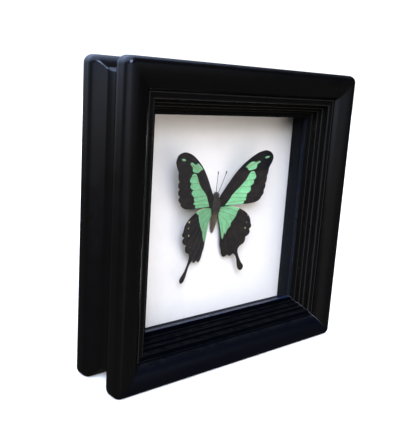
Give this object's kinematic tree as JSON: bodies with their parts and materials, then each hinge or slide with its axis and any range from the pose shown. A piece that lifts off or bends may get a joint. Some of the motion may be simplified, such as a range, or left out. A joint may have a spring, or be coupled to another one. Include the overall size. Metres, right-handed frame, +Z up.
{
  "type": "framed butterfly specimen",
  "caption": "Deep square black shadow-box frame with a stepped moulding, a glass front, a white backing and one spread swallowtail butterfly with a pale green band.",
  "frame": {"origin": "middle of the frame's depth, under the middle of its bottom edge", "axes": "+Z up, +X to the right as seen from the front, +Y from the glazed front towards the back, so the front faces -Y"},
  "size_m": [0.2, 0.0494, 0.2],
  "materials": {
    "frame_paint": "satin black lacquer",
    "glass": "clear, polished",
    "board_white": "matt white mount board",
    "panel_board": "brown hardboard",
    "spacer_black": "matt black",
    "tab_steel": "zinc-plated, dull",
    "hanger_brass": "brass-plated, dull",
    "wing_scales": "matt scales, black-brown with a pale green band",
    "body_fur": "dark furry hair"
  },
  "bodies": {
    "root": {"front_rail_bottom": "frame_paint", "front_rail_left": "frame_paint", "front_rail_top": "frame_paint", "front_rail_right": "frame_paint", "rear_rail_bottom": "frame_paint", "rear_rail_left": "frame_paint", "rear_rail_top": "frame_paint", "rear_rail_right": "frame_paint", "glass_pane": "glass", "backing_board": "board_white", "back_panel": "panel_board", "spacer_top": "spacer_black", "spacer_bottom": "spacer_black", "spacer_left": "spacer_black", "spacer_right": "spacer_black", "tab_left_a": "tab_steel", "tab_left_b": "tab_steel", "tab_top_a": "tab_steel", "tab_top_b": "tab_steel", "tab_right_a": "tab_steel", "tab_right_b": "tab_steel", "tab_bottom_a": "tab_steel", "tab_bottom_b": "tab_steel", "hanger": "hanger_brass", "hanger_rivet_left": "tab_steel", "hanger_rivet_right": "tab_steel", "forewing_left": "wing_scales", "forewing_right": "wing_scales", "hindwing_left": "wing_scales", "hindwing_right": "wing_scales", "antenna_left": "body_fur", "antenna_right": "body_fur", "body": "body_fur"}
  },
  "joints": []
}
